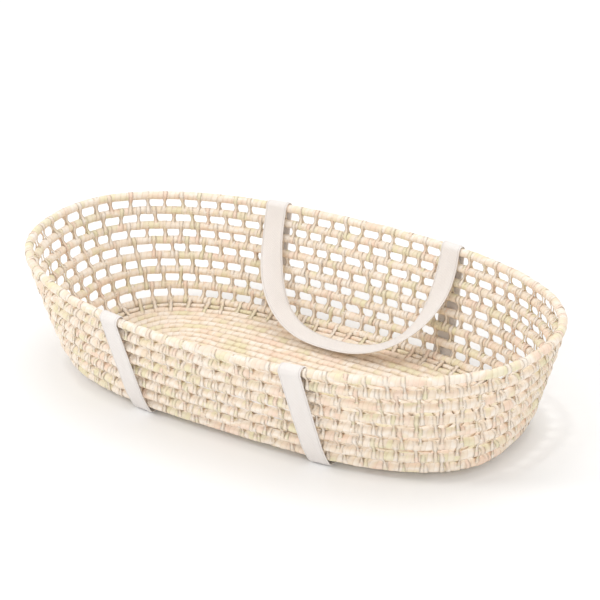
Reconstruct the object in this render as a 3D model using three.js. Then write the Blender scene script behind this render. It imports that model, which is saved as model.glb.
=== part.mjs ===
// Oval pet bed basket of coiled husk rope, carried by two webbing straps with a handle loop on each long side.
// Millimetres, +Z up. X runs along the basket, Y across it. The origin is on the ground under the middle.
//
// The floor is a rope coil pressed flat. The wall is eight rounds of the same rope, with ties between each two
// rounds that leave an open row of holes. Each strap runs under the floor, up both sides and over the rim.
// The handles hang inside from the ends of the straps, and swing up about the rim.
import * as THREE from "three";

// Overall shape.
const RIM_LENGTH = 760; // over the rim rope
const RIM_WIDTH = 388; // over the rim rope
const RIM_HEIGHT = 156; // ground to the top of the rim, at the middle of a side
const END_RISE = 7.8; // how much higher the rim is at the two ends
const RIM_SQUARENESS = 2.27; // superellipse exponent: 2 is an ellipse
const FOOT_LENGTH = 606; // the line where the wall starts, on the rope's centre
const FOOT_WIDTH = 254;
const FOOT_SQUARENESS = 2.87;
const FOOT_RADIUS = 20; // the bend from the floor up into the wall

// Rope.
const ROPE_DIAMETER = 11.5;
const WALL_ROUNDS = 8; // the rim is the last of them
const FIRST_PITCH = 14.5; // from that line to the wall's first round, along the wall
const FLOOR_ROUNDS = 10;
const FLOOR_INSET = 2.5; // how far the floor's last round lies inside that line
const FLOOR_ROPE_HEIGHT = 10.5; // the floor's rope is pressed flat
const FLOOR_ROPE_GAP = 0.8; // between two rounds of the floor

// Ties between two rounds of the wall, joined by the strand that wraps the lower one.
const TIES_PER_ROUND = 18;
const TIE_WIDTH = 5;
const TIE_TAPER = 3; // length over which a tie narrows into the strand
const TIE_THICKNESS = 3;
const STRAND_HEIGHT = 1.4;

// Webbing.
const STRAP_WIDTH = 30;
const STRAP_THICKNESS = 2;
const STRAP_SPACING = 270; // between the middles of the two straps
const STRAP_CLEARANCE = 0.5; // off the ropes that it crosses

// Handles, as they hang inside.
const HANDLE_START = 4; // where its webbing leaves the strap, down the wall from the rim's centre
const HANDLE_CLEARANCE = 7; // between the bottom of the loop and the floor
const HANDLE_BULGE = 32; // how far the bottom stands further off the wall than the tops of the legs
const HANDLE_SQUARENESS = 2.5;
const HANDLE_TWIST = THREE.MathUtils.degToRad(75); // the webbing's turn between a leg and the bottom

const GAP = 0.3; // between pieces that touch

// Fineness.
const ROUND_STEPS = 2 * TIES_PER_ROUND; // so that each tie stands at a corner of the faceted rope
const ROPE_SIDES = 6;
const BEND_STEPS = 6;
const HANDLE_STEPS = 48;

const husk = new THREE.MeshStandardMaterial({ name: "husk_rope", color: 0xe6d2ae, roughness: 0.85, metalness: 0 });
const tieHusk = new THREE.MeshStandardMaterial({ name: "husk_tie", color: 0xd9c08f, roughness: 0.8, metalness: 0 });
const cotton = new THREE.MeshStandardMaterial({ name: "webbing", color: 0xece6e2, roughness: 0.9, metalness: 0 });

const ropeRadius = ROPE_DIAMETER / 2;
const strapX = STRAP_SPACING / 2;
const X_AXIS = new THREE.Vector3(1, 0, 0);
const Z_AXIS = new THREE.Vector3(0, 0, 1);

// --- The wall's profile -------------------------------------------------------------------------------------

const foot = { length: FOOT_LENGTH / 2, width: FOOT_WIDTH / 2 };
const rim = { length: RIM_LENGTH / 2 - ropeRadius, width: RIM_WIDTH / 2 - ropeRadius };

// Half the width at x of an oval.
function halfWidthAt({ length, width, squareness }, x) {
  return width * (1 - Math.abs(x / length) ** squareness) ** (1 / squareness);
}

// The rim runs at an angle to X where a strap crosses it, and the flat strap clears it over its whole width.
const rimOval = { ...rim, squareness: RIM_SQUARENESS };
const rimAtStrap = halfWidthAt(rimOval, strapX);
const rimSkew = rimAtStrap - halfWidthAt(rimOval, strapX + STRAP_WIDTH / 2);
const strapStandoff = ropeRadius + STRAP_CLEARANCE + rimSkew; // from a rope's centre to the strap's near face

const footHeight = STRAP_THICKNESS + strapStandoff;
const climb = RIM_HEIGHT - ropeRadius - footHeight;
const run = rim.width - foot.width;
const bendToRim = Math.hypot(run, climb - FOOT_RADIUS);
const straightLength = Math.sqrt(bendToRim ** 2 - FOOT_RADIUS ** 2);
const wallAngle = Math.atan2(climb - FOOT_RADIUS, run) + Math.asin(FOOT_RADIUS / bendToRim);
const bendLength = FOOT_RADIUS * wallAngle;
const profileLength = bendLength + straightLength;
const wallPitch = (profileLength - FIRST_PITCH) / (WALL_ROUNDS - 1);

// How far out and up the wall is at a distance along its profile from the foot: a bend, then a straight.
function profileAt(distance) {
  const angle = Math.min(distance, bendLength) / FOOT_RADIUS;
  const straight = Math.max(distance - bendLength, 0);
  return {
    angle,
    out: FOOT_RADIUS * Math.sin(angle) + straight * Math.cos(wallAngle),
    up: FOOT_RADIUS * (1 - Math.cos(angle)) + straight * Math.sin(wallAngle),
  };
}

// How far along the profile a round of the wall is, counted from 1 at the bottom.
function roundDistance(index) {
  return FIRST_PITCH + (index - 1) * wallPitch;
}

// The oval that the rope's centre follows at that distance, with its height at mid side and its rise at the ends.
function wallOval(distance) {
  const { angle, out, up } = profileAt(distance);
  const share = out / run;
  return {
    length: THREE.MathUtils.lerp(foot.length, rim.length, share),
    width: THREE.MathUtils.lerp(foot.width, rim.width, share),
    squareness: THREE.MathUtils.lerp(FOOT_SQUARENESS, RIM_SQUARENESS, up / climb),
    height: footHeight + up,
    rise: (END_RISE * up) / climb,
    lean: angle,
  };
}

class OvalCurve extends THREE.Curve {
  constructor(oval) {
    super();
    this.oval = oval;
    this.arcLengthDivisions = 720;
  }

  getPoint(t, target = new THREE.Vector3()) {
    const { length, width, squareness, height, rise } = this.oval;
    const cos = Math.cos(2 * Math.PI * t);
    const sin = Math.sin(2 * Math.PI * t);
    const x = length * Math.sign(cos) * Math.abs(cos) ** (2 / squareness);
    const y = width * Math.sign(sin) * Math.abs(sin) ** (2 / squareness);
    return target.set(x, y, height + rise * (x / length) ** 2);
  }
}

// Evenly spaced points round an oval, starting at its +X end and without the repeated last one.
function roundPoints(oval) {
  return new OvalCurve(oval).getSpacedPoints(ROUND_STEPS).slice(0, ROUND_STEPS);
}

// --- Lofts --------------------------------------------------------------------------------------------------

// One closed surface through rings of points, each with as many points. An open row of rings gets flat ends.
// Opposite faces are split along the same diagonal, so that a twisted band keeps its thickness.
function loft(rings, closed) {
  const sides = rings[0].length;
  const positions = rings.flat().flatMap((point) => point.toArray());
  const indices = [];
  const spans = closed ? rings.length : rings.length - 1;
  for (let i = 0; i < spans; i++) {
    const here = i * sides;
    const next = ((i + 1) % rings.length) * sides;
    for (let j = 0; j < sides; j++) {
      const k = (j + 1) % sides;
      if (j < sides / 2) {
        indices.push(here + j, next + j, next + k);
        indices.push(here + j, next + k, here + k);
      } else {
        indices.push(here + j, next + j, here + k);
        indices.push(here + k, next + j, next + k);
      }
    }
  }
  if (!closed) {
    const last = (rings.length - 1) * sides;
    for (let j = 1; j < sides - 1; j++) {
      indices.push(0, j, j + 1);
      indices.push(last, last + j + 1, last + j);
    }
  }
  const geometry = new THREE.BufferGeometry();
  geometry.setAttribute("position", new THREE.Float32BufferAttribute(positions, 3));
  geometry.setIndex(indices);
  geometry.computeVertexNormals();
  return geometry;
}

// The level direction out of a closed round at each of its points.
function outwardDirections(points) {
  return points.map((_, i) => {
    const along = points[(i + 1) % points.length].clone().sub(points.at(i - 1));
    return along.setZ(0).normalize().cross(Z_AXIS);
  });
}

// A flat-sided section about a centre, in the plane of two directions.
function section(centre, first, second, corners) {
  return corners.map(([a, b]) => centre.clone().addScaledVector(first, a).addScaledVector(second, b));
}

// Corners of a six-sided rope, with a corner on the first direction and a flat on the second.
function ropeCorners(firstHalf, secondHalf) {
  return Array.from({ length: ROPE_SIDES }, (_, i) => {
    const angle = (2 * Math.PI * i) / ROPE_SIDES;
    return [firstHalf * Math.cos(angle), (secondHalf * Math.sin(angle)) / Math.sin(Math.PI / 3)];
  });
}

// Corners of a flat band.
function bandCorners(width, thickness) {
  const w = width / 2;
  const t = thickness / 2;
  return [
    [w, t],
    [-w, t],
    [-w, -t],
    [w, -t],
  ];
}

// --- Rope rounds of the wall --------------------------------------------------------------------------------

function wallRound(index) {
  const oval = wallOval(roundDistance(index));
  const points = roundPoints(oval);
  const outward = outwardDirections(points);
  const flat = ropeRadius * Math.cos(Math.PI / ROPE_SIDES);
  const rings = points.map((point, i) => {
    const face = outward[i].clone().multiplyScalar(Math.sin(oval.lean)).addScaledVector(Z_AXIS, -Math.cos(oval.lean));
    const across = outward[i].clone().multiplyScalar(Math.cos(oval.lean)).addScaledVector(Z_AXIS, Math.sin(oval.lean));
    return section(point, face, across, ropeCorners(ropeRadius, flat));
  });
  return loft(rings, true);
}

// --- Ties ---------------------------------------------------------------------------------------------------

// A point on the faceted round, at a share of its steps.
function pointOnRound(points, step) {
  const count = points.length;
  const whole = Math.floor(step);
  return points[(whole + count) % count].clone().lerp(points[(whole + 1 + count) % count], step - whole);
}

// The point of a faceted round that is nearest to another point.
function nearestOnRound(points, target) {
  const nearest = points.map((start, i) => {
    const end = points[(i + 1) % points.length];
    return new THREE.Line3(start, end).closestPointToPoint(target, true, new THREE.Vector3());
  });
  return nearest.reduce((best, point) => (point.distanceTo(target) < best.distanceTo(target) ? point : best));
}

// The ties between a round and the one above it. The strand between two ties keeps them in one piece.
function tieRound(index) {
  const onFloor = index === 0;
  const lower = onFloor ? floorRoundPoints(FLOOR_ROUNDS) : roundPoints(wallOval(roundDistance(index)));
  const upper = roundPoints(wallOval(roundDistance(index + 1)));
  const bottom = GAP + (onFloor ? (corePitch - FLOOR_ROPE_GAP) / 2 : ropeRadius);
  const stepLength = lower[0].distanceTo(lower[1]);
  const half = TIE_WIDTH / 2 / stepLength;
  const taper = TIE_TAPER / stepLength;
  const stations = [];
  for (let tie = 0; tie < TIES_PER_ROUND; tie++) {
    const middle = 2 * tie + (index % 2);
    stations.push([middle - half - taper, false], [middle - half, true], [middle, true]);
    stations.push([middle + half, true], [middle + half + taper, false]);
    stations.push([middle + 1, false]);
  }
  const rings = stations.map(([step, isTie]) => {
    const low = pointOnRound(lower, step);
    const high = nearestOnRound(upper, low);
    const up = high.clone().sub(low);
    const distance = up.length();
    up.normalize();
    const along = pointOnRound(lower, step + 0.5).sub(pointOnRound(lower, step - 0.5));
    const face = along.cross(up).normalize();
    const top = isTie ? distance - ropeRadius - GAP : bottom + STRAND_HEIGHT;
    const centre = low.addScaledVector(up, (bottom + top) / 2);
    return section(centre, up, face, bandCorners(top - bottom, TIE_THICKNESS).reverse());
  });
  return loft(rings, true);
}

// --- Floor --------------------------------------------------------------------------------------------------

const floorHeight = STRAP_THICKNESS + GAP + FLOOR_ROPE_HEIGHT / 2;
const floorEdge = { length: foot.length - FLOOR_INSET, width: foot.width - FLOOR_INSET };
const corePitch = floorEdge.width / FLOOR_ROUNDS;
const coreEnd = floorEdge.length - floorEdge.width;

// The outermost round of the floor, and the point of the core that each of its points is coiled about.
const edgePoints = roundPoints({ ...floorEdge, squareness: FOOT_SQUARENESS, height: floorHeight, rise: 0 });
const corePoints = edgePoints.map(
  (point) => new THREE.Vector3(THREE.MathUtils.clamp(point.x, -coreEnd, coreEnd), 0, floorHeight),
);

function floorRoundPoints(round) {
  return edgePoints.map((point, i) => corePoints[i].clone().lerp(point, round / FLOOR_ROUNDS));
}

// How far apart two rounds are at a point, square to the rope.
function floorPitchAt(index) {
  const count = edgePoints.length;
  const point = edgePoints[index];
  const spoke = point.clone().sub(corePoints[index]);
  const clear = [edgePoints.at(index - 1), edgePoints[(index + 1) % count]].map((other) => {
    const side = other.clone().sub(point).normalize();
    return side.cross(spoke).length();
  });
  return Math.min(...clear) / FLOOR_ROUNDS;
}

function floorRound(round) {
  const points = floorRoundPoints(round);
  const outward = outwardDirections(points);
  const rings = points.map((point, i) => {
    const half = (floorPitchAt(i) - FLOOR_ROPE_GAP) / 2;
    return section(point, outward[i], Z_AXIS, ropeCorners(half, FLOOR_ROPE_HEIGHT / 2));
  });
  return loft(rings, true);
}

// The straight piece that the coil starts from.
function floorCore() {
  const half = (corePitch - FLOOR_ROPE_GAP) / 2;
  const across = new THREE.Vector3(0, -1, 0);
  const rings = [-coreEnd, coreEnd].map((x) => {
    const centre = new THREE.Vector3(x, 0, floorHeight);
    return section(centre, across, Z_AXIS, ropeCorners(half, FLOOR_ROPE_HEIGHT / 2));
  });
  return loft(rings, false);
}

// --- Straps -------------------------------------------------------------------------------------------------

// A wall rope's centre in the strap's plane, at a distance along the wall.
function wallAtStrap(distance) {
  const oval = wallOval(distance);
  return { y: halfWidthAt(oval, strapX), z: oval.height + oval.rise * (strapX / oval.length) ** 2 };
}

const rimCentre = wallAtStrap(profileLength);

// One half of a strap's run, from the ground up the wall and over the rim to its inner side.
function strapHalf() {
  const offset = strapStandoff + STRAP_THICKNESS / 2;
  const path = [];
  for (let i = 0; i <= BEND_STEPS; i++) {
    const distance = (bendLength * i) / BEND_STEPS;
    const { y, z } = wallAtStrap(distance);
    const angle = profileAt(distance).angle;
    path.push([y + offset * Math.sin(angle), z - offset * Math.cos(angle)]);
  }
  for (let i = 0; i <= BEND_STEPS; i++) {
    const angle = wallAngle + (Math.PI * i) / BEND_STEPS;
    path.push([rimCentre.y + offset * Math.sin(angle), rimCentre.z - offset * Math.cos(angle)]);
  }
  path[0][1] = STRAP_THICKNESS / 2;
  return path;
}

function strap(side) {
  const half = strapHalf();
  const path = [...half.map(([y, z]) => [-y, z]).reverse(), ...half];
  const rings = path.map(([y, z], i) => {
    const [y0, z0] = path[Math.max(i - 1, 0)];
    const [y1, z1] = path[Math.min(i + 1, path.length - 1)];
    const before = new THREE.Vector2(y - y0, z - z0).normalize();
    const after = new THREE.Vector2(y1 - y, z1 - z).normalize();
    const along = before.clone().add(after).normalize();
    const mitre = 1 / Math.max(along.dot(after.lengthSq() > 0 ? after : before), 0.5);
    const face = new THREE.Vector3(0, -along.y, along.x).multiplyScalar(mitre);
    return section(new THREE.Vector3(side * strapX, y, z), X_AXIS, face, bandCorners(STRAP_WIDTH, STRAP_THICKNESS));
  });
  return loft(rings, false);
}

// --- Handles ------------------------------------------------------------------------------------------------

const legStandoff = strapStandoff + STRAP_THICKNESS * 1.5 + GAP;

// How far the turned webbing reaches below its middle line at the bottom of the loop.
const bottomAngle = wallAngle - HANDLE_TWIST;
const bottomReach =
  (STRAP_WIDTH * Math.abs(Math.sin(bottomAngle)) + STRAP_THICKNESS * Math.abs(Math.cos(bottomAngle))) / 2;

// From the rim's centre down the wall to the bottom of the loop.
const loopBottom = floorHeight + FLOOR_ROPE_HEIGHT / 2 + HANDLE_CLEARANCE + bottomReach;
const bottomRise = (legStandoff + HANDLE_BULGE) * Math.cos(wallAngle);
const handleDrop = (rimCentre.z + bottomRise - loopBottom) / Math.sin(wallAngle);

// A handle's loop of webbing. Side is 1 for the rear handle and -1 for the front one.
function handle(side) {
  const down = new THREE.Vector3(0, -side * Math.cos(wallAngle), -Math.sin(wallAngle));
  const inward = new THREE.Vector3(0, -side * Math.sin(wallAngle), Math.cos(wallAngle));
  const top = new THREE.Vector3(0, side * rimCentre.y, rimCentre.z);
  const point = (t) => {
    const angle = Math.PI * t;
    const across = -strapX * Math.sign(Math.cos(angle)) * Math.abs(Math.cos(angle)) ** (2 / HANDLE_SQUARENESS);
    const sink = Math.sin(angle) ** (2 / HANDLE_SQUARENESS);
    return top
      .clone()
      .addScaledVector(X_AXIS, across)
      .addScaledVector(down, THREE.MathUtils.lerp(HANDLE_START, handleDrop, sink))
      .addScaledVector(inward, legStandoff + HANDLE_BULGE * sink ** 2);
  };
  const rings = [];
  for (let i = 0; i <= HANDLE_STEPS; i++) {
    const t = i / HANDLE_STEPS;
    const along = point(Math.min(t + 0.004, 1)).sub(point(Math.max(t - 0.004, 0))).normalize();
    const face = inward.clone().addScaledVector(along, -inward.dot(along)).normalize();
    const width = face.clone().cross(along);
    const turn = -side * HANDLE_TWIST * THREE.MathUtils.smoothstep(Math.sin(Math.PI * t), 0, 1);
    face.applyAxisAngle(along, turn);
    width.applyAxisAngle(along, turn);
    rings.push(section(point(t), width, face, bandCorners(STRAP_WIDTH, STRAP_THICKNESS).reverse()));
  }
  return loft(rings, false);
}

// --- Assembly -----------------------------------------------------------------------------------------------

const basket = new THREE.Group();
basket.name = "pet_bed_basket";

function add(name, geometry, material) {
  const mesh = new THREE.Mesh(geometry, material);
  mesh.name = name;
  basket.add(mesh);
}

for (let index = 1; index < WALL_ROUNDS; index++) {
  add(`wall_round_${index}`, wallRound(index), husk);
}
add("rim_round", wallRound(WALL_ROUNDS), husk);
for (let index = 0; index < WALL_ROUNDS; index++) {
  add(`wall_ties_${index + 1}`, tieRound(index), tieHusk);
}
add("floor_core", floorCore(), husk);
for (let round = 1; round <= FLOOR_ROUNDS; round++) {
  add(`floor_round_${round}`, floorRound(round), husk);
}
add("left_strap", strap(-1), cotton);
add("right_strap", strap(1), cotton);
add("front_handle", handle(-1), cotton);
add("rear_handle", handle(1), cotton);

export default basket;
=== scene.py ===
"""Oval pet bed basket of coiled husk rope, with two webbing straps and a webbing loop on each long side.

Metres, +Z up. X runs along the basket and Y across it, with the rear long side at +Y.
"""

import logging
import math
from dataclasses import dataclass, field
from enum import Enum

import bpy
import numpy as np
from mathutils import Matrix, Vector


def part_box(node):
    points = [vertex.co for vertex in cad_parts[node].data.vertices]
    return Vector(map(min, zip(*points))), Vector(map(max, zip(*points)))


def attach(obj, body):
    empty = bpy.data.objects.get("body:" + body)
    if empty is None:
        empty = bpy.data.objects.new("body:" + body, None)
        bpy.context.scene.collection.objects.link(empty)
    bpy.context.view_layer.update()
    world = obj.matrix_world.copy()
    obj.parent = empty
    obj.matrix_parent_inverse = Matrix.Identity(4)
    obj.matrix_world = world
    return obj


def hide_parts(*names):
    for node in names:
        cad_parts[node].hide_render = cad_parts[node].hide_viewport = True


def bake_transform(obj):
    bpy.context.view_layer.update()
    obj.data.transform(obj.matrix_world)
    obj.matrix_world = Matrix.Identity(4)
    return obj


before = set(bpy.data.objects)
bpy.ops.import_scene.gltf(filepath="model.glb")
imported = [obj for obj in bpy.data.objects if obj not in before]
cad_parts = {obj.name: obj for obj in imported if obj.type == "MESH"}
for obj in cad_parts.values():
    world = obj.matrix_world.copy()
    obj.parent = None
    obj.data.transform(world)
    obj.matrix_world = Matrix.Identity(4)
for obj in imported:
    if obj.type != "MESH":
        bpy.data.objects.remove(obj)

LOG = logging.getLogger("basket")
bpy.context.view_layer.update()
MM = 0.001
STRAND_RANGE = 50.0
Array = np.ndarray
Material = bpy.types.Material
Random = np.random.Generator
Socket = bpy.types.NodeSocket
Triple = tuple[float, float, float]


# --- Shader tools ---


class Value:
    """A number that varies over a surface: a socket on which arithmetic adds Math nodes."""

    def __init__(self, shader: "Shader", socket: Socket) -> None:
        """Keeps the socket and the material it belongs to."""
        self.shader = shader
        self.socket = socket

    def _math(self, operation: str, *values: "Value | float", clamp: bool = False) -> "Value":
        """Adds one Math node.

        Args:
            operation: the node's operation.
            values: its inputs, in order.
            clamp: whether the result is held between 0 and 1.

        Returns:
            The node's result.
        """
        node = self.shader.node(
            "ShaderNodeMath",
            {"operation": operation, "use_clamp": clamp},
            dict(enumerate(values)),
        )
        return Value(self.shader, node.outputs[0])

    def __add__(self, other: "Value | float") -> "Value":
        """This plus other."""
        return self._math("ADD", self, other)

    __radd__ = __add__

    def __sub__(self, other: "Value | float") -> "Value":
        """This minus other."""
        return self._math("SUBTRACT", self, other)

    def __rsub__(self, other: float) -> "Value":
        """Other minus this."""
        return self._math("SUBTRACT", other, self)

    def __mul__(self, other: "Value | float") -> "Value":
        """This times other."""
        return self._math("MULTIPLY", self, other)

    __rmul__ = __mul__

    def __pow__(self, other: float) -> "Value":
        """This to the power of other."""
        return self._math("POWER", self, other)

    def clamped(self) -> "Value":
        """This, held between 0 and 1."""
        return self._math("ADD", self, 0.0, clamp=True)

    def sine(self) -> "Value":
        """The sine of this, in radians."""
        return self._math("SINE", self)

    def above(self, limit: float) -> "Value":
        """1 where this is over the limit, and 0 elsewhere."""
        return self._math("GREATER_THAN", self, limit)


class Shader:
    """A material's node tree, with a Principled shader at its end."""

    def __init__(self, name: str) -> None:
        """Makes the material.

        Args:
            name: the material's name.
        """
        self.material = bpy.data.materials.new(name)
        self.material.use_nodes = True
        self.tree = self.material.node_tree
        self.tree.nodes.clear()
        self.surface = self.node("ShaderNodeBsdfPrincipled")
        self.node("ShaderNodeOutputMaterial", inputs={"Surface": self.surface.outputs[0]})

    def node(
        self,
        kind: str,
        settings: dict[str, object] | None = None,
        inputs: dict[str | int, object] | None = None,
    ) -> bpy.types.Node:
        """Adds one node.

        Args:
            kind: the node's type.
            settings: its properties, which are set first; a ramp's stops are under "stops".
            inputs: a value or a link for each of its sockets, by name or number.

        Returns:
            The node.
        """
        node = self.tree.nodes.new(kind)
        for name, setting in (settings or {}).items():
            if name == "stops":
                self._set_stops(node, setting)
            else:
                setattr(node, name, setting)
        for name, value in (inputs or {}).items():
            self.feed(node.inputs[name], value)
        return node

    @staticmethod
    def _set_stops(node: bpy.types.Node, stops: list[tuple[float, Triple]]) -> None:
        """Sets a ramp's stops, each a position and a colour."""
        ramp = node.color_ramp
        while len(ramp.elements) < len(stops):
            ramp.elements.new(0.5)
        for element, (position, colour) in zip(ramp.elements, stops):
            element.position = position
            element.color = (*colour, 1.0)

    def feed(self, socket: Socket, value: object) -> None:
        """Links or sets a socket.

        Args:
            socket: the input.
            value: a Value or a socket to link, or a plain number, colour or vector.
        """
        source = value.socket if isinstance(value, Value) else value
        if isinstance(source, Socket):
            self.tree.links.new(source, socket)
        elif socket.type == "RGBA" and len(source) == 3:
            socket.default_value = (*source, 1.0)
        else:
            socket.default_value = source

    def attribute(self, name: str, output: str = "Fac") -> Socket:
        """The named mesh attribute."""
        return self.node("ShaderNodeAttribute", {"attribute_name": name}).outputs[output]

    def number(self, name: str) -> Value:
        """The named mesh attribute as a number."""
        return Value(self, self.attribute(name))

    def stretched(self, vector: Socket, scale: Triple) -> Socket:
        """The vector times a scale on each axis."""
        return self.node("ShaderNodeVectorMath", {"operation": "MULTIPLY"}, {0: vector, 1: scale}).outputs[0]

    def noise(self, vector: Socket, detail: float = 2.0, roughness: float = 0.5) -> Value:
        """Noise at a position."""
        inputs = {"Vector": vector, "Scale": 1.0, "Detail": detail, "Roughness": roughness}
        return Value(self, self.node("ShaderNodeTexNoise", None, inputs).outputs["Fac"])

    def ramp(self, value: Value, stops: list[tuple[float, Triple]]) -> Socket:
        """The colour of a ramp at a value."""
        return self.node("ShaderNodeValToRGB", {"stops": stops}, {"Fac": value}).outputs["Color"]

    def mix(self, share: Value | float, first: object, second: object, blend: str = "MIX") -> Socket:
        """Two colours mixed.

        Args:
            share: how much of the second, from 0 to 1.
            first: the first colour.
            second: the second colour.
            blend: the way they are mixed.

        Returns:
            The mixed colour.
        """
        node = self.node("ShaderNodeMix", {"data_type": "RGBA", "blend_type": blend})
        self.feed(node.inputs[0], share)
        self.feed(node.inputs[6], first)
        self.feed(node.inputs[7], second)
        return node.outputs[2]

    def bump(self, height: Value, depth: float) -> None:
        """Raises the surface by a height times a depth in metres."""
        node = self.node("ShaderNodeBump", None, {"Strength": 1.0, "Distance": depth, "Height": height})
        self.feed(self.surface.inputs["Normal"], node.outputs[0])


# --- Finishes ---


@dataclass(frozen=True)
class HuskFinish:
    """Dry husk strips: fine fibres along each strip, patches of straw, peach and green along the rope, and
    painted shade in its folds, pinches and gaps.
    """

    name: str = "husk_strip"
    straw: Triple = (0.90, 0.76, 0.60)
    peach: Triple = (0.91, 0.70, 0.56)
    green: Triple = (0.84, 0.77, 0.54)
    pale: Triple = (0.95, 0.87, 0.78)
    # Painted shade: the dark colour laid into folds, pinches and gaps.
    crease_shade: Triple = (0.60, 0.45, 0.31)
    fibre: Triple = (0.88, 0.78, 0.62)
    fibre_depth: float = 0.25 * MM
    patch_scale: Triple = (17.0, 30.0, 30.0)
    fibre_scale: Triple = (2300.0, 140.0, 140.0)
    blotch_scale: Triple = (300.0, 160.0, 160.0)
    patch_contrast: float = 1.6
    strip_contrast: float = 0.14
    fibre_share: float = 0.4
    crease_shade_share: float = 0.75
    roughness: float = 0.78
    specular: float = 0.35

    def material(self) -> Material:
        """Builds the material."""
        shader = Shader(self.name)
        strand = shader.attribute("strand", "Vector")
        tone = shader.number("tone")
        crease_shade = shader.number("crease_shade")
        patches = shader.noise(shader.stretched(strand, self.patch_scale), 1.5)
        fibres = shader.noise(shader.stretched(strand, self.fibre_scale), 2.0, 0.6)
        blotches = shader.noise(shader.stretched(strand, self.blotch_scale), 3.0, 0.6)
        spread = (patches - 0.5) * self.patch_contrast + 0.5 + (tone - 0.5) * self.strip_contrast
        colours = (self.green, self.straw, self.pale, self.straw, self.peach)
        colour = shader.ramp(spread, list(zip((0.30, 0.42, 0.52, 0.62, 0.72), colours)))
        light = shader.mix((tone * 0.5 + blotches * 0.4 - 0.30).clamped(), colour, self.pale)
        streaks = ((fibres - 0.5) * 1.3 + 0.25).clamped()
        shade = shader.mix(streaks * self.fibre_share, light, self.fibre, "MULTIPLY")
        # Painted shade: darkens the colour where the mesh marks a fold, a pinch or a gap.
        crease_shaded = shader.mix((crease_shade**2.0) * self.crease_shade_share, shade, self.crease_shade)
        shader.feed(shader.surface.inputs["Base Color"], crease_shaded)
        shader.feed(shader.surface.inputs["Roughness"], (self.roughness - fibres * 0.25).clamped())
        shader.feed(shader.surface.inputs["Specular IOR Level"], self.specular)
        shader.bump(fibres + blotches * 0.6, self.fibre_depth)
        return shader.material


@dataclass(frozen=True)
class WebbingFinish:
    """Undyed cotton webbing: a plain weave of thick cords lengthwise, with finer threads across them, painted
    shade where the weave is low and in the groove by each selvedge, and random tone.
    """

    name: str = "cotton_webbing"
    colour: Triple = (0.95, 0.90, 0.86)
    shadow: Triple = (0.72, 0.66, 0.62)
    cord_pitch: float = 1.5 * MM
    thread_pitch: float = 1.1 * MM
    rib_pitch: float = 2.2 * MM
    rib_slant: float = 3.0 * MM
    selvedge: float = 12.4 * MM
    groove: float = 0.7 * MM
    lint_scale: Triple = (900.0, 900.0, 900.0)
    cloud_scale: Triple = (60.0, 25.0, 60.0)
    depth: float = 0.3 * MM
    settings: tuple[tuple[str, float], ...] = (
        ("Roughness", 0.88),
        ("Specular IOR Level", 0.2),
        ("Sheen Weight", 0.25),
        ("Sheen Roughness", 0.4),
    )

    def material(self) -> Material:
        """Builds the material."""
        shader = Shader(self.name)
        weave = shader.attribute("weave", "Vector")
        split = shader.node("ShaderNodeSeparateXYZ", None, {"Vector": weave})
        across, along = Value(shader, split.outputs[0]), Value(shader, split.outputs[1])
        cords = (across * (2 * math.pi / self.cord_pitch)).sine()
        threads = (along * (2 * math.pi / self.thread_pitch)).sine()
        checks = cords * threads
        lint = shader.noise(shader.stretched(weave, self.lint_scale), 3.0, 0.65)
        cloud = shader.noise(shader.stretched(weave, self.cloud_scale), 2.0)
        aside = across**2.0
        selvedge = aside.above(self.selvedge**2)
        groove = selvedge * (1.0 - aside.above((self.selvedge + self.groove) ** 2))
        ribs = (along * (2 * math.pi / self.rib_pitch) + across * (2 * math.pi / self.rib_slant)).sine()
        ribs = ribs * (1.0 - selvedge)
        height = checks * 0.35 + (cords**2.0) * 0.3 + lint * 0.4 + ribs * 0.3 - groove * 1.2
        # Painted shade where the cords and ribs dip and in the selvedge groove, with random tone from the
        # lint and cloud noise.
        weave_shade_and_tone = 0.26 - checks * 0.16 - ribs * 0.14 + (lint - 0.5) * 0.5 + (cloud - 0.5) * 0.4
        share = (weave_shade_and_tone + groove * 0.5).clamped()
        shader.feed(shader.surface.inputs["Base Color"], shader.mix(share, self.colour, self.shadow))
        for name, value in self.settings:
            shader.feed(shader.surface.inputs[name], value)
        shader.bump(height, self.depth)
        return shader.material


@dataclass(frozen=True)
class FloorFinish:
    """The pale floor of the studio."""

    name: str = "studio_floor"
    colour: Triple = (0.93, 0.93, 0.93)

    def material(self) -> Material:
        """Builds the material."""
        shader = Shader(self.name)
        shader.feed(shader.surface.inputs["Base Color"], self.colour)
        shader.feed(shader.surface.inputs["Roughness"], 0.9)
        return shader.material


# --- Meshes ---


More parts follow.
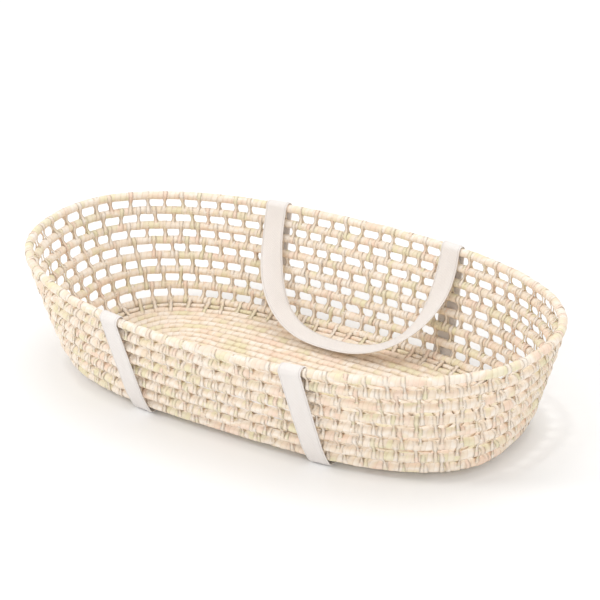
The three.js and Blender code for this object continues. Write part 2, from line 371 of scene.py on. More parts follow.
@dataclass
class Mould:
    """Vertices, faces and surface values gathered for one piece."""

    vertices: list[Array] = field(default_factory=list)
    faces: list[Array] = field(default_factory=list)
    points: dict[str, list[Array]] = field(default_factory=dict)
    corners: dict[str, list[Array]] = field(default_factory=dict)
    count: int = 0

    def add(self, vertices: Array, faces: Array, points: dict[str, Array], corners: dict[str, Array]) -> None:
        """Adds one body.

        Args:
            vertices: its vertices, one a row.
            faces: its quads, as rows of four vertex numbers.
            points: a number for each vertex, by name.
            corners: a vector for each corner of each quad, by name.
        """
        self.vertices.append(vertices)
        self.faces.append(faces + self.count)
        self.count += len(vertices)
        for name, values in points.items():
            self.points.setdefault(name, []).append(values)
        for name, values in corners.items():
            self.corners.setdefault(name, []).append(values)

    def cast(self, name: str, material: Material) -> bpy.types.Object:
        """Makes the object.

        Args:
            name: the piece's name.
            material: its finish.

        Returns:
            The object, linked to the scene and shaded smooth.
        """
        vertices = np.concatenate(self.vertices)
        faces = np.concatenate(self.faces)
        mesh = bpy.data.meshes.new(name)
        mesh.from_pydata(vertices.tolist(), [], faces.tolist())
        layers = [(self.points, "FLOAT", "POINT", "value")]
        layers += [(self.corners, "FLOAT_VECTOR", "CORNER", "vector")]
        for values, kind, domain, entry in layers:
            for title, parts in values.items():
                layer = mesh.attributes.new(title, kind, domain)
                layer.data.foreach_set(entry, np.concatenate(parts).astype(np.float32).ravel())
        mesh.shade_smooth()
        mesh.materials.append(material)
        mesh.update()
        piece = bpy.data.objects.new(name, mesh)
        bpy.context.scene.collection.objects.link(piece)
        return piece


def unit(vectors: Array) -> Array:
    """The vectors at length 1."""
    return vectors / np.maximum(np.linalg.norm(vectors, axis=-1, keepdims=True), 1e-12)


def distances(line: Array) -> Array:
    """How far along an open line each of its points is."""
    return np.concatenate([[0.0], np.cumsum(np.linalg.norm(np.diff(line, axis=0), axis=1))])


def grid_faces(rings: int, sides: int, closed: bool) -> Array:
    """Quads between rings of vertices, each ring closed.

    Args:
        rings: how many rings.
        sides: how many vertices a ring.
        closed: whether the last ring joins the first.

    Returns:
        Rows of four vertex numbers.
    """
    i = np.arange(rings if closed else rings - 1)[:, None]
    j = np.arange(sides)[None, :]
    after, beside = (i + 1) % rings, (j + 1) % sides
    quads = [i * sides + j, after * sides + j, after * sides + beside, i * sides + beside]
    return np.stack(quads, axis=-1).reshape(-1, 4)


# --- The basket's lines ---


@dataclass(frozen=True)
class Oval:
    """A superellipse that a round of rope follows, with its height at mid side and its rise at the ends."""

    half_length: float
    half_width: float
    squareness: float
    height: float
    rise: float
    lean: float

    def line(self, count: int = 4096) -> Array:
        """Closely spaced points round the oval, anticlockwise from its +X end."""
        angle = np.arange(count) * (2 * math.pi / count)
        cos, sin = np.cos(angle), np.sin(angle)
        power = 2 / self.squareness
        x = self.half_length * np.sign(cos) * np.abs(cos) ** power
        y = self.half_width * np.sign(sin) * np.abs(sin) ** power
        return np.stack([x, y, self.height_at(x)], axis=-1)

    def half_width_at(self, x: Array | float) -> Array | float:
        """Half the oval's width at x."""
        share = np.abs(x / self.half_length) ** self.squareness
        return self.half_width * (1 - share) ** (1 / self.squareness)

    def height_at(self, x: Array | float) -> Array | float:
        """The oval's height at x."""
        return self.height + self.rise * (x / self.half_length) ** 2


class Track:
    """A closed line with the directions of the wall along it, found by the distance from its start."""

    def __init__(self, line: Array, lean: float, start: float) -> None:
        """Measures the line.

        Args:
            line: its points, anticlockwise.
            lean: the wall's angle from level there.
            start: where along it the rope starts, from 0 to 1.
        """
        line = np.roll(line, -int(start * len(line)), axis=0)
        steps = np.linalg.norm(np.roll(line, -1, axis=0) - line, axis=1)
        self.marks = np.concatenate([[0.0], np.cumsum(steps)])
        self.length = float(self.marks[-1])
        along = unit(np.roll(line, -1, axis=0) - np.roll(line, 1, axis=0))
        level = unit(along * np.array([1.0, 1.0, 0.0]))
        outward = np.stack([level[:, 1], -level[:, 0], np.zeros(len(level))], axis=-1)
        up = np.array([0.0, 0.0, 1.0])
        face = outward * math.sin(lean) - up * math.cos(lean)
        across = outward * math.cos(lean) + up * math.sin(lean)
        columns = np.concatenate([line, along, face, across], axis=1)
        self.columns = np.concatenate([columns, columns[:1]])
        self.line = line

    def at(self, distance: Array) -> tuple[Array, Array, Array, Array]:
        """The line's place and directions.

        Args:
            distance: distances along it, of any shape.

        Returns:
            Its point, its direction, the wall's outer side and the way up the wall, one vector each.
        """
        where = np.mod(distance, self.length)
        found = np.stack([np.interp(where, self.marks, column) for column in self.columns.T], axis=-1)
        return found[..., 0:3], unit(found[..., 3:6]), unit(found[..., 6:9]), unit(found[..., 9:12])

    def nearest(self, points: Array) -> Array:
        """The distance along the line at which it is nearest to each point."""
        stride = 4
        gaps = np.linalg.norm(points[:, None, :] - self.line[None, ::stride, :], axis=-1)
        return self.marks[np.argmin(gaps, axis=1) * stride]


# --- Rope ---


@dataclass(frozen=True)
class Rope:
    """Rope wrapped crosswise in husk strips, each strip overlapping the one before it."""

    strip_width: float = 7.0 * MM
    strip_lift: float = 0.27 * MM
    sides: int = 16
    wander: float = 0.45 * MM
    pinch: float = 0.045
    pinch_length: float = 3.4 * MM
    # Painted shade on the rope's sides, where it meets the next round.
    groove: float = 0.0
    looseness: float = 1.03
    flatness: float = 0.6
    swell: float = 0.14 * MM
    unroundness: float = 0.13 * MM
    strand_radius: float = 6.0 * MM
    width_spread: float = 0.3
    waves: tuple[int, int] = (6, 60)
    wave_count: int = 5

    def wrap(
        self,
        mould: Mould,
        track: Track,
        half_face: float,
        half_across: Array | float,
        ties: Array,
        random: Random,
    ) -> None:
        """Adds one closed round of rope.

        Args:
            mould: where its mesh goes.
            track: the line it follows.
            half_face: half its size square to the wall.
            half_across: half its size along the wall, as one number or one for each mark of the track.
            ties: distances along the track at which a tie pulls it in.
            random: the source of its irregularities.
        """
        count = round(track.length / self.strip_width)
        widths = random.uniform(1 - self.width_spread, 1 + self.width_spread, count)
        widths *= track.length / widths.sum()
        starts = np.concatenate([[0.0], np.cumsum(widths)[:-1]])
        shares = np.array([0.0, 0.07, 0.4, 0.75])
        lifts = np.array([0.0, 1.0, 0.85, 0.4]) * self.strip_lift
        folds = np.array([1.0, 0.0, 0.0, 0.35])
        steps = len(shares)
        ring = np.arange(count * steps)
        side = np.arange(self.sides)
        place = (ring // steps + shares[ring % steps])[:, None] + side[None, :] / self.sides
        whole = np.floor(place).astype(int)
        distance = starts[whole % count] + (place - whole) * widths[whole % count]
        distance = distance + (whole // count) * track.length
        angle = np.broadcast_to(side * (2 * math.pi / self.sides), distance.shape)
        owner = (ring // steps - (ring % steps == 0))[:, None] + np.zeros_like(whole)
        swell = random.uniform(-1.0, 1.0, count)[owner % count] * self.swell
        lean = random.uniform(0, 2 * math.pi, count)[owner % count]
        lift = lifts[ring % steps][:, None] + swell + self.unroundness * np.cos(2 * angle + lean)
        tight = self._tightness(distance, ties, track.length)
        centre, along, face, across = track.at(distance)
        shift_face = self._wander(distance, track.length, random)
        shift_across = self._wander(distance, track.length, random)
        if isinstance(half_across, Array):
            half_across = np.interp(np.mod(distance, track.length), track.marks, half_across)
        loose = self.looseness - self.pinch * tight
        out = np.cos(angle) * (half_face * loose + lift) + shift_face
        wide = np.sin(angle) * (half_across * loose + lift * self.flatness) + shift_across * self.flatness
        vertices = centre + face * out[..., None] + across * wide[..., None]
        total = count * steps
        i, j = np.meshgrid(ring, side, indexing="ij")
        over = (j + 1 == self.sides) * steps
        first = (i % total) * self.sides + j
        second = ((i + 1) % total) * self.sides + j
        third = ((i + 1 + over) % total) * self.sides + (j + 1) % self.sides
        fourth = ((i + over) % total) * self.sides + (j + 1) % self.sides
        faces = np.stack([first, second, third, fourth], axis=-1).reshape(-1, 4)
        flat = np.mod(distance, track.length).ravel()
        far = flat[faces]
        far = far + (far.max(axis=1, keepdims=True) - far > track.length / 2) * track.length
        turn = angle.ravel()[faces]
        around = (np.cos(turn) * self.strand_radius, np.sin(turn) * self.strand_radius)
        strand = np.stack([far + random.uniform(0, STRAND_RANGE), *around], axis=-1).reshape(-1, 3)
        tone = random.uniform(0, 1, count)[owner % count]
        # Painted shade: darker where a strip tucks under the next, where a tie pinches the rope, and on its
        # sides by the groove setting.
        crease_shade = folds[ring % steps][:, None] * 0.6 + tight * 0.3 + self.groove * np.abs(np.sin(angle)) ** 6
        points = {"tone": tone.ravel(), "crease_shade": np.clip(crease_shade, 0, 1).ravel()}
        mould.add(vertices.reshape(-1, 3), faces, points, {"strand": strand})

    def _tightness(self, distance: Array, ties: Array, length: float) -> Array:
        """How tightly the nearest tie holds the rope, from 0 to 1."""
        marks = np.sort(np.mod(ties, length))
        if not len(marks):
            return np.zeros_like(distance)
        marks = np.concatenate([[marks[-1] - length], marks, [marks[0] + length]])
        where = np.mod(distance, length)
        after = np.searchsorted(marks, where).clip(1, len(marks) - 1)
        gap = np.minimum(np.abs(where - marks[after - 1]), np.abs(marks[after] - where))
        return np.exp(-((gap / self.pinch_length) ** 2))

    def _wander(self, distance: Array, length: float, random: Random) -> Array:
        """A slow irregular shift along the rope, the same at its start and end."""
        waves = random.integers(*self.waves, self.wave_count)
        phases = random.uniform(0, 2 * math.pi, self.wave_count)
        angle = distance[..., None] * (2 * math.pi / length)
        usual_sum = 2.2
        return np.sin(angle * waves + phases).sum(axis=-1) * self.wander / usual_sum


@dataclass(frozen=True)
class Tie:
    """A husk strip looped flush round two rounds of rope, drawn together into a strand between them."""

    thickness: float = 0.3 * MM
    width_on_rope: float = 6.2 * MM
    width_leaving: float = 6.0 * MM
    width_between: float = 3.4 * MM
    waist: float = 1.3 * MM
    slant: float = 2.4 * MM
    hold: float = math.radians(48)
    arc_steps: int = 9
    long_span: float = 2.6
    fullness: tuple[float, float] = (0.8, 1.25)
    crossing: tuple[float, float] = (0.3, 1.0)
    tones: tuple[float, float] = (0.3, 0.8)

    def loop(
        self,
        mould: Mould,
        low: Array,
        high: Array,
        face: Array,
        low_radius: float,
        high_radius: float,
        random: Random,
    ) -> None:
        """Adds one tie to each pair of points.

        Args:
            mould: where its mesh goes.
            low: points on the lower rope's centre.
            high: points on the upper rope's centre.
            face: the wall's outer side at each.
            low_radius: the lower rope's radius.
            high_radius: the upper rope's radius.
            random: the source of its irregularities.
        """
        places = np.array([-0.5, -0.3, 0.0, 0.3, 0.5, 0.0])
        heights = np.array([-0.9, 0.4, 0.75, 0.4, -0.9, -1.2]) * self.thickness
        for start, end, outer in zip(low, high, face):
            span = float(np.linalg.norm(end - start))
            up = (end - start) / span
            outer = unit(outer - up * float(outer @ up))
            along = np.cross(up, outer)
            rise, depth, width = self._path(span, low_radius, high_radius, random.uniform(*self.fullness))
            slant = random.uniform(-1, 1) * self.slant
            cross = random.uniform(*self.crossing) * self.slant * 0.5
            drift = (slant + cross * np.sign(depth)) * (rise / span - 0.5)
            centre = start + up * rise[:, None] + outer * depth[:, None] + along * drift[:, None]
            direction = unit(np.roll(centre, -1, axis=0) - np.roll(centre, 1, axis=0))
            outward = unit(np.cross(along, direction))
            shape = centre[:, None, :] + along * (places[None, :, None] * width[:, None, None])
            shape = shape + outward[:, None, :] * heights[None, :, None]
            rings, sides = len(centre), len(places)
            faces = grid_faces(rings, sides, True)[:, ::-1]
            offset = random.uniform(0, STRAND_RANGE)
            table = np.broadcast_arrays(places * width[:, None] + offset, distances(centre)[:, None], heights)
            strand = np.stack(table, axis=-1).reshape(-1, 3)[faces].reshape(-1, 3)
            tone = np.full(rings * sides, random.uniform(*self.tones))
            # Painted shade: darker on the strand between the ropes, along the strip's edges and on its
            # underside.
            between = np.ones(rings)
            between[: self.arc_steps] = 0.3
            between[rings // 2 : rings // 2 + self.arc_steps] = 0.3
            crease_shade = (between[:, None] * np.array([0.55, 0.3, 0.25, 0.3, 0.55, 0.5])).ravel()
            mould.add(shape.reshape(-1, 3), faces, {"tone": tone, "crease_shade": crease_shade}, {"strand": strand})

    def _path(
        self, span: float, low_radius: float, high_radius: float, fullness: float
    ) -> tuple[Array, Array, Array]:
        """The loop's course, with one step between close ropes and three between ropes further apart.

        Args:
            span: the distance between the two ropes' centres.
            low_radius: the lower rope's radius.
            high_radius: the upper rope's radius.
            fullness: how wide it is between the ropes, against the usual.

        Returns:
            How far up it is, how far out it is, and its width, at each step round.
        """
        turn = np.linspace(-self.hold, math.pi + self.hold, self.arc_steps)
        if span > self.long_span * high_radius:
            shares = np.array([0.38, 0.5, 0.62])
            depths = widths = np.array([1.25, 1.0, 1.25])
        else:
            shares, depths, widths = np.array([0.5]), np.array([2.2]), np.array([1.3])
        waist = self.waist * depths
        middle = self.width_between * fullness * widths
        sin, cos = np.sin(turn), np.cos(turn)
        rise = [-low_radius * sin, span * shares, span + high_radius * sin, span * shares[::-1]]
        depth = [low_radius * cos, -waist, -high_radius * cos, waist]
        on_rope = np.full(self.arc_steps, self.width_on_rope)
        on_rope[[0, -1]] = self.width_leaving
        return np.concatenate(rise), np.concatenate(depth), np.concatenate([on_rope, middle, on_rope, middle])


# --- Sub-assemblies ---


def piece_on(piece: bpy.types.Object, body: str, slot: str, *nodes: str) -> None:
    """Puts a piece on a body.

    Args:
        piece: the piece.
        body: the body it rides on.
        slot: the record's material slot; not used.
        nodes: the solids that it stands for.
    """
    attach(piece, body)
    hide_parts(*nodes)
    LOG.info("%s rides on %s and stands for %s", piece.name, body, ", ".join(nodes))


@dataclass
class WallShape:
    """The ovals of the wall's rounds, read from the boxes of their solids."""

    rope_radius: float = 5.75 * MM
    rounds: int = 8
    rim_squareness: float = 2.27
    foot_squareness: float = 2.87
    ovals: list[Oval] = field(default_factory=list)

    def __post_init__(self) -> None:
        """Reads the boxes."""
        boxes = [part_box(self.node(index)) for index in range(self.rounds)]
        middles = [(float(hi[1]), float(lo[2])) for lo, hi in boxes]
        low, high = middles[0][1], middles[-1][1]
        for index, (lo, hi) in enumerate(boxes):
            before, after = middles[max(index - 1, 0)], middles[min(index + 1, self.rounds - 1)]
            lean = math.atan2(after[1] - before[1], after[0] - before[0])
            corners = [lean + corner * math.pi / 3 for corner in range(6)]
            inset = self.rope_radius * max(math.sin(corner) for corner in corners)
            sole = self.rope_radius * max(math.cos(corner) for corner in corners)
            share = (middles[index][1] - low) / (high - low)
            self.ovals.append(
                Oval(
                    float(hi[0]) - inset,
                    float(hi[1]) - inset,
                    self.foot_squareness + (self.rim_squareness - self.foot_squareness) * share,
                    float(lo[2]) + sole,
                    max(float(hi[2] - lo[2]) - 2 * sole, 0.0),
                    lean,
                )
            )

    def node(self, index: int) -> str:
        """The name of a round's solid, counted from 0 at the bottom."""
        return "rim_round" if index == self.rounds - 1 else f"wall_round_{index + 1}"


@dataclass
class FloorShape:
    """The rounds of the floor's coil, read from the boxes of their solids."""

    rounds: int = 10
    squareness: float = 2.87
    gap: float = 1.1 * MM

    def __post_init__(self) -> None:
        """Reads the boxes."""
        core_lo, core_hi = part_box("floor_core")
        last_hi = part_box(f"floor_round_{self.rounds}")[1]
        self.core_end = float(core_hi[0])
        self.half_height = float(core_hi[2] - core_lo[2]) / 2
        self.height = float(core_hi[2] + core_lo[2]) / 2
        half = float(core_hi[1])
        length, width = float(last_hi[0]) - half, float(last_hi[1]) - half
        self.edge = Oval(length, width, self.squareness, self.height, 0.0, 0.0)

    def line(self, index: int) -> tuple[Array, Array]:
        """A round's line.

        Args:
            index: the round, counted from 1 at the middle.

        Returns:
            Its points, and half the rope's width at each.
        """
        edge = self.edge.line()
        middle = np.clip(edge[:, 0], -self.core_end, self.core_end)
        core = np.stack([middle, 0 * edge[:, 1], edge[:, 2]], axis=-1)
        spoke = edge - core
        along = unit(np.roll(edge, -1, axis=0) - np.roll(edge, 1, axis=0))
        apart = np.linalg.norm(np.cross(along, spoke), axis=1) / self.rounds
        return core + spoke * (index / self.rounds), (apart - self.gap) / 2


@dataclass
class Basket:
    """The rope floor and wall, with their ties.

    Each share is the part of a solid's half size at which the rope's core, or a tie on it, lies.
    """

    wall: WallShape
    floor: FloorShape
    husk: Material
    rope: Rope = Rope()
    tie: Tie = Tie()
    foot_tie: Tie = Tie(width_between=6.0 * MM, waist=3.0 * MM)
    seam_rope: Rope = Rope(strip_width=5.5 * MM, strip_lift=0.2 * MM, sides=10, wander=0.2 * MM)
    seam_radius: float = 2.9 * MM
    floor_rope: Rope = Rope(
        strip_width=10.5 * MM,
        strip_lift=0.26 * MM,
        pinch=0.11,
        pinch_length=2.4 * MM,
        wander=0.3 * MM,
        # groove: painted shade along the rope's sides, between the floor's rows.
        groove=0.9,
    )
    core_share: float = 0.91
    tie_share: float = 0.94
    floor_share: float = 0.95
    middle_share: float = 0.93
    middle_reach: float = 2.0 * MM
    middle_half_width: float = 1.2 * MM
    tie_spacing: float = 24.5 * MM
    tie_jitter: float = 0.11
    floor_tie_spacing: float = 22.0 * MM
    floor_tie_jitter: float = 0.15
    wall_starts: tuple[float, float] = (0.37, 0.013)
    floor_starts: tuple[float, float] = (0.3, 0.02)
    seam_start: float = 0.4
    middle_start: float = 0.1
    seed: int = 7
    random: Random = field(init=False)

    def __post_init__(self) -> None:
        """Starts the source of irregularities."""
        self.random = np.random.default_rng(self.seed)

    def build(self) -> None:
        """Makes every piece."""
        start, step = self.wall_starts
        ovals = enumerate(self.wall.ovals)
        wall = [Track(oval.line(), oval.lean, start + step * index) for index, oval in ovals]
        floor, widths = [], []
        for index in range(1, self.floor.rounds + 1):
            line, half = self.floor.line(index)
            start = self.floor_starts[0] + self.floor_starts[1] * index
            floor.append(Track(line, 0.0, start))
            half = np.roll(half, -int(start * len(half)))
            widths.append(np.append(half, half[0]))
        pulls: list[list[Array]] = [[] for _ in wall]
        self._wall_ties(floor[-1], wall, pulls)
        for index, track in enumerate(wall):
            mould = Mould()
            radius = self.wall.rope_radius * self.core_share
            self.rope.wrap(mould, track, radius, radius, np.concatenate(pulls[index]), self.random)
            node = self.wall.node(index)
            piece_on(mould.cast(f"{node}_rope", self.husk), "basket", "husk_rope", node)
        self._floor(floor, widths)

    def _wall_ties(self, foot: Track, wall: list[Track], pulls: list[list[Array]]) -> None:
        """Makes the ties between each two rounds of the wall, and notes where they pull the rope in.

        Args:
            foot: the floor's last round.
            wall: the wall's rounds, from the bottom.
            pulls: the places of the ties on each round of the wall, filled in here.
        """
        radius = self.wall.rope_radius * self.tie_share
        for index, upper in enumerate(wall):
            lower = wall[index - 1] if index else foot
            tie = self.tie if index else self.foot_tie
            count = round(upper.length / self.tie_spacing)
            jitter = self.random.uniform(-self.tie_jitter, self.tie_jitter, count)
            above = (np.arange(count) + 0.5 * (index % 2) + jitter) / count * upper.length
            high, _, face, _ = upper.at(above)
            below = lower.nearest(high)
            low = lower.at(below)[0]
            pulls[index].append(above)
            if index:
                pulls[index - 1].append(below)
            mould = Mould()
            low_radius = radius if index else self.floor.half_height
            tie.loop(mould, low, high, face, low_radius, radius, self.random)
            if not index:
                between = (self.floor.edge.line() + self.wall.ovals[0].line()) / 2
                seam = Track(between, self.wall.ovals[0].lean, self.seam_start)
                held = seam.nearest((low + high) / 2)
                self.seam_rope.wrap(mould, seam, self.seam_radius, self.seam_radius, held, self.random)
            name = f"wall_ties_{index + 1}"
            piece_on(mould.cast(f"{name}_strips", self.husk), "basket", "husk_tie", name)

    def _floor(self, tracks: list[Track], widths: list[Array]) -> None:
        """Makes the floor's coil.

        Args:
            tracks: its rounds, from the middle.
            widths: half the rope's width at each mark of each.
        """
        for index, (track, half) in enumerate(zip(tracks, widths)):
            mould = Mould()
            count = round(track.length / self.floor_tie_spacing)
            jitter = self.random.uniform(-self.floor_tie_jitter, self.floor_tie_jitter, count)
            ties = (np.arange(count) + 0.5 * (index % 2) + jitter) / count * track.length
            half_height = self.floor.half_height * self.floor_share
            self.floor_rope.wrap(mould, track, half_height, half, ties, self.random)
            node = f"floor_round_{index + 1}"
            piece_on(mould.cast(f"{node}_rope", self.husk), "basket", "husk_rope", node)
        self._middle()

    def _middle(self) -> None:
        """Makes the straight start of the coil."""
        lo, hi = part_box("floor_core")
        count = 2048
        angle = np.arange(count) * (2 * math.pi / count)
        x = (float(hi[0]) + self.middle_reach) * np.cos(angle)
        y = self.middle_half_width * np.sin(angle)
        track = Track(np.stack([x, y, np.full(count, self.floor.height)], axis=-1), 0.0, self.middle_start)
        mould = Mould()
        half = float(hi[1] - lo[1]) / 2 - self.middle_half_width
        ties = np.arange(round(track.length / self.floor_tie_spacing)) * self.floor_tie_spacing
        half_height = self.floor.half_height * self.middle_share
        self.floor_rope.wrap(mould, track, half_height, half, ties, self.random)
        piece_on(mould.cast("floor_core_rope", self.husk), "basket", "husk_rope", "floor_core")


class Side(Enum):
    """A long side of the basket, by the sign of its Y."""

    FRONT = -1
    REAR = 1


@dataclass
class Webbing:
    """Flat cotton webbing: the straps under the basket, and the handles that run on from them."""

    wall: WallShape
    cotton: Material
    thickness: float = 1.7 * MM
    clearance: float = 0.7 * MM
    step: float = 2.5 * MM
    handle_bulge: float = 36.6 * MM
    handle_squareness: float = 2.5
    handle_twist: float = math.radians(75)
    blend_reach: float = 18.0 * MM
    strap_length: float = 0.62
    foot_slope: float = 0.35
    points_across: int = 11
    edge_thinning: float = 0.9
    end_share: float = 0.06
    loop_steps: int = 90
    rim_steps: int = 24
    rim_share: float = 0.12
    rim_turn: tuple[float, float] = (-4.0, 180.0)

    @property
    def standoff(self) -> float:
        """How far the webbing's middle is from the centre of the rope it lies on."""
        return self.wall.rope_radius + self.clearance + self.thickness / 2

    def build(self) -> None:
        """Makes both straps and both handles."""
        for name in ("left_strap", "right_strap"):
            piece_on(self._strap(name), "basket", "webbing", name)
        for side in Side:
            self._handle(side)

    def _ribbon(self, name: str, centre: Array, wide: Array, normal: Array, width: float) -> bpy.types.Object:
        """Makes a flat band with full, rounded edges.

        Args:
            name: the piece's name.
            centre: its middle line, as points across the band for each step along it.
            wide: the direction of its width at each step.
            normal: the direction of its outer face at each step.
            width: its width.

        Returns:
            The object.
        """
        centre, wide, normal = (self._with_ends(line) for line in (centre, wide, normal))
        half = width / 2
        edge = self.thickness / 2
        across = np.linspace(-half + edge, half - edge, self.points_across)
        places = np.concatenate([[-half], across, [half], across[::-1]])
        lift = np.full(len(across), edge)
        lift[[0, -1]] *= self.edge_thinning
        heights = np.concatenate([[0.0], lift, [0.0], -lift])
        shape = centre[:, None] + wide[:, None] * places[:, None] + normal[:, None] * heights[:, None]
        rings, sides = len(centre), len(places)
        caps = np.array([[k, k + 1, sides - k - 2, sides - k - 1] for k in range(sides // 2 - 1)])
        faces = np.concatenate([grid_faces(rings, sides, False), caps, caps[:, ::-1] + (rings - 1) * sides])
        if float(np.cross(centre[1] - centre[0], wide[0]) @ normal[0]) < 0:
            faces = faces[:, ::-1]
        table = np.broadcast_arrays(places, distances(centre)[:, None], heights)
        weave = np.stack(table, axis=-1).reshape(-1, 3)[faces].reshape(-1, 3)
        mould = Mould()
        mould.add(shape.reshape(-1, 3), faces, {}, {"weave": weave})
        return mould.cast(name, self.cotton)

    def _with_ends(self, line: Array) -> Array:
        """The line with one more step close to each end, so that the cut ends stay crisp."""
        share = self.end_share
        first = line[:1] * (1 - share) + line[1:2] * share
        last = line[-1:] * (1 - share) + line[-2:-1] * share
        return np.concatenate([line[:1], first, line[1:-1], last, line[-1:]])

    def _wall_path(self, x: float) -> Array:
        """The outer face of the rear wall at x, from its foot up to the rim, as points of Y and Z."""
        points = []
        for oval in self.wall.ovals:
            y, z = oval.half_width_at(x), oval.height_at(x)
            points.append((y + self.standoff * math.sin(oval.lean), z - self.standoff * math.cos(oval.lean)))
        return np.array(points)

    def _strap(self, name: str) -> bpy.types.Object:
        """Makes one strap, from the front rim down, under the floor and up to the rear rim.

        Args:
            name: its solid's name.

        Returns:
            The object.
        """
        lo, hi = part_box(name)
        x, width = float(hi[0] + lo[0]) / 2, float(hi[0] - lo[0])
        left, right = (self._strap_line(x + sign * width / 2) for sign in (-1, 1))
        centre = (left + right) / 2
        wide = unit(right - left)
        along = unit(np.gradient(centre, axis=0))
        normal = unit(np.cross(wide, along))
        return self._ribbon(f"{name}_webbing", centre, wide, normal, width)

    def _strap_line(self, x: float) -> Array:
        """One edge of a strap, evenly stepped, from the front rim to the rear rim."""
        wall = self._wall_path(x)
        foot = wall[0][0] - self.foot_slope * wall[0][1]
        under = [[0.0, 0.0], [foot / 2, 0.0], [foot - 30 * MM, 0.0], [foot - 12 * MM, 0.0]]
        under = np.array(under + [[foot - 2 * MM, 0.8 * MM]]) + np.array([0.0, self.thickness / 2])
        half = np.concatenate([under, wall])
        line = np.concatenate([half[:0:-1] * np.array([-1.0, 1.0]), half])
        marks = distances(line)
        count = int(self.strap_length / self.step)
        even = np.linspace(0, marks[-1], count)
        y, z = (np.interp(even, marks, values) for values in line.T)
        for values in (y, z):
            for _ in range(3):
                values[1:-1] = (values[:-2] + 2 * values[1:-1] + values[2:]) / 4
        return np.stack([np.full(count, x), y, z], axis=-1)

    def _handle(self, side: Side) -> None:
        """Makes one handle, with its webbing's turn over the rim at both ends.

        Args:
            side: its long side.
        """
        rim = self.wall.ovals[-1]
        node = f"{side.name.lower()}_handle"
        lo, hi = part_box("right_strap")
        x, width = float(hi[0] + lo[0]) / 2, float(hi[0] - lo[0])
        sign = side.value
        out = np.array([0.0, sign * math.sin(rim.lean), -math.cos(rim.lean)])
        up = np.array([0.0, sign * math.cos(rim.lean), math.sin(rim.lean)])
        top = np.array([0.0, sign * rim.half_width_at(x), rim.height_at(x)])
        reach = self.standoff
        bottom = float(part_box(node)[0][2]) + self.thickness
        drop = (top[2] - bottom + (reach + self.handle_bulge) * math.cos(rim.lean)) / math.sin(rim.lean)
        skew = (rim.half_width_at(x + width / 2) - rim.half_width_at(x - width / 2)) / width
        along_rim = unit(np.array([1.0, sign * skew, 0.0]))
        centres, wides, normals = [], [], []
        for turn in np.radians(np.linspace(*self.rim_turn, self.rim_steps)):
            spoke = out * math.cos(turn) + up * math.sin(turn)
            centres.append(top + np.array([x, 0, 0]) + spoke * reach)
            wides.append(along_rim)
            normals.append(spoke)
        for t in np.linspace(0, 0.5, self.loop_steps)[1:]:
            centre, wide, normal = self._loop_point(t, x, top, out, up, drop)
            near = max(0.0, 1 - t / self.rim_share)
            centres.append(centre)
            wides.append(unit(wide * (1 - near) + along_rim * near))
            normals.append(normal)
        flip = np.array([-1.0, 1.0, 1.0])
        halves = (centres, wides, normals)
        centre, wide, normal = (np.array(half + [v * flip for v in half[-2::-1]]) for half in halves)
        normal = unit(normal - wide * (normal * wide).sum(axis=1, keepdims=True))
        piece = self._ribbon(f"{node}_webbing", centre, wide, normal, width)
        start = top + np.array([0, sign * reach, 0])
        end = start - np.array([0, sign * self.blend_reach, 0])
        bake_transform(piece)
        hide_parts(node)
        LOG.info("%s bends from basket to %s", piece.name, node)

    def _loop_point(
        self, t: float, x: float, top: Array, out: Array, up: Array, drop: float
    ) -> tuple[Array, Array, Array]:
        """A place on the hanging loop.

        Args:
            t: its share of the way round, from 0 at the rim to 0.5 at the bottom.
            x: the leg's place along the rim.
            top: the rim's centre.
            out: the wall's outer side.
            up: the way up the wall.
            drop: how far down the wall the bottom of the loop is.

        Returns:
            Its centre, the direction of its width, and the direction of its face.
        """

        def spot(share: float) -> Array:
            """The loop's middle line."""
            angle = math.pi * share
            sink = math.sin(angle) ** (2 / self.handle_squareness) if angle > 0 else 0.0
            aside = x * max(math.cos(angle), 0.0) ** (2 / self.handle_squareness)
            inward = self.standoff + self.handle_bulge * sink**2
            return top + np.array([aside, 0, 0]) - up * (drop * sink) - out * inward

        nudge = 0.002
        along = unit(spot(min(t + nudge, 0.5)) - spot(max(t - nudge, 0.0)))
        if t >= 0.5:
            along = np.array([-1.0, 0.0, 0.0])
        inward = -out
        face = unit(inward - along * float(inward @ along))
        wide = unit(np.cross(face, along)) * (1.0 if out[1] > 0 else -1.0)
        ease = math.sin(math.pi * t)
        turn = self.handle_twist * ease * ease * (3 - 2 * ease)
        turned_wide = wide * math.cos(turn) + face * math.sin(turn)
        turned_face = face * math.cos(turn) - wide * math.sin(turn)
        return spot(t), turned_wide, turned_face


# --- Studio ---


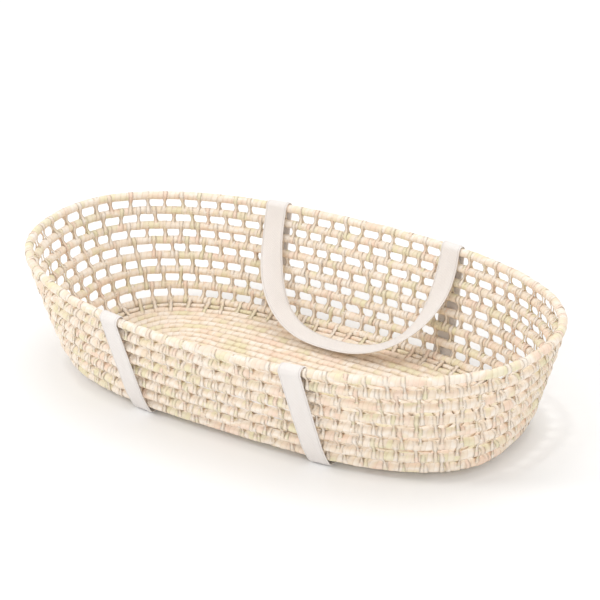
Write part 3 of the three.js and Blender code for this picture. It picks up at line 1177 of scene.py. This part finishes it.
@dataclass
class Studio:
    """The pale floor, the soft lights and the camera."""

    azimuth: float = 36.61
    elevation: float = 28.25
    roll: float = -3.91
    distance: float = 3.2516
    lens: float = 154.575
    aim_right: float = 13.8 * MM
    aim_up: float = 45.3 * MM
    middle_height: float = 77.3 * MM
    floor_reach: float = 30.0
    floor_drop: float = 0.3 * MM
    surround: float = 0.88
    lamp_aim: Triple = (0.0, 0.0, 0.08)

    def build(self) -> None:
        """Makes the floor, the lights and the camera."""
        bpy.context.scene.view_settings.view_transform = "Standard"
        self._floor()
        self._world()
        self._lamp("key", (-1.9, -1.7, 2.4), 0.9, 26.0)
        self._lamp("fill", (2.2, -1.6, 1.4), 2.4, 8.0)
        self._lamp("top", (0.2, 0.8, 3.0), 2.6, 22.0)
        self._camera()

    def _floor(self) -> None:
        """Lays the floor just under the basket."""
        mesh = bpy.data.meshes.new("studio_floor")
        signs = ((-1, -1), (1, -1), (1, 1), (-1, 1))
        corners = [(x * self.floor_reach, y * self.floor_reach, 0) for x, y in signs]
        mesh.from_pydata(corners, [], [(0, 1, 2, 3)])
        mesh.materials.append(FloorFinish().material())
        floor = bpy.data.objects.new("studio_floor", mesh)
        floor.location.z = -self.floor_drop
        bpy.context.scene.collection.objects.link(floor)

    def _world(self) -> None:
        """Sets an even white surround."""
        world = bpy.data.worlds.new("studio")
        world.use_nodes = True
        background = world.node_tree.nodes["Background"]
        background.inputs["Color"].default_value = (1.0, 1.0, 1.0, 1.0)
        background.inputs["Strength"].default_value = self.surround
        bpy.context.scene.world = world

    def _lamp(self, name: str, place: Triple, size: float, power: float) -> None:
        """Hangs one soft lamp that faces the basket.

        Args:
            name: its name.
            place: where it hangs.
            size: its width.
            power: its power in watts.
        """
        data = bpy.data.lights.new(name, "AREA")
        data.shape = "DISK"
        data.size = size
        data.energy = power
        lamp = bpy.data.objects.new(name, data)
        lamp.location = place
        lamp.rotation_euler = (Vector(self.lamp_aim) - Vector(place)).to_track_quat("-Z", "Y").to_euler()
        bpy.context.scene.collection.objects.link(lamp)

    def _camera(self) -> None:
        """Places the camera."""
        azimuth, elevation, roll = (math.radians(v) for v in (self.azimuth, self.elevation, self.roll))
        level = math.cos(elevation)
        back = Vector((math.sin(azimuth) * level, -math.cos(azimuth) * level, math.sin(elevation)))
        target = Vector((0, 0, self.middle_height))
        place = target + back * self.distance
        right = Vector((0, 0, 1)).cross(back).normalized()
        up = back.cross(right).normalized()
        level_right = right * math.cos(roll) + up * math.sin(roll)
        level_up = up * math.cos(roll) - right * math.sin(roll)
        aim = target + level_right * self.aim_right + level_up * self.aim_up
        axis = (place - aim).normalized()
        level_right = (level_right - axis * level_right.dot(axis)).normalized()
        level_up = axis.cross(level_right)
        data = bpy.data.cameras.new("camera")
        data.lens = self.lens
        data.sensor_width = 36.0
        data.clip_end = 100.0
        camera = bpy.data.objects.new("camera", data)
        turn = Matrix((level_right, level_up, axis)).transposed().to_4x4()
        camera.matrix_world = Matrix.Translation(place) @ turn
        bpy.context.scene.collection.objects.link(camera)
        bpy.context.scene.camera = camera


def main() -> None:
    """Builds the studio and the basket."""
    logging.basicConfig(level=logging.INFO, format="%(message)s")
    Studio().build()
    wall = WallShape()
    Basket(wall, FloorShape(), HuskFinish().material()).build()
    Webbing(wall, WebbingFinish().material()).build()


if __name__ == "__main__":
    main()
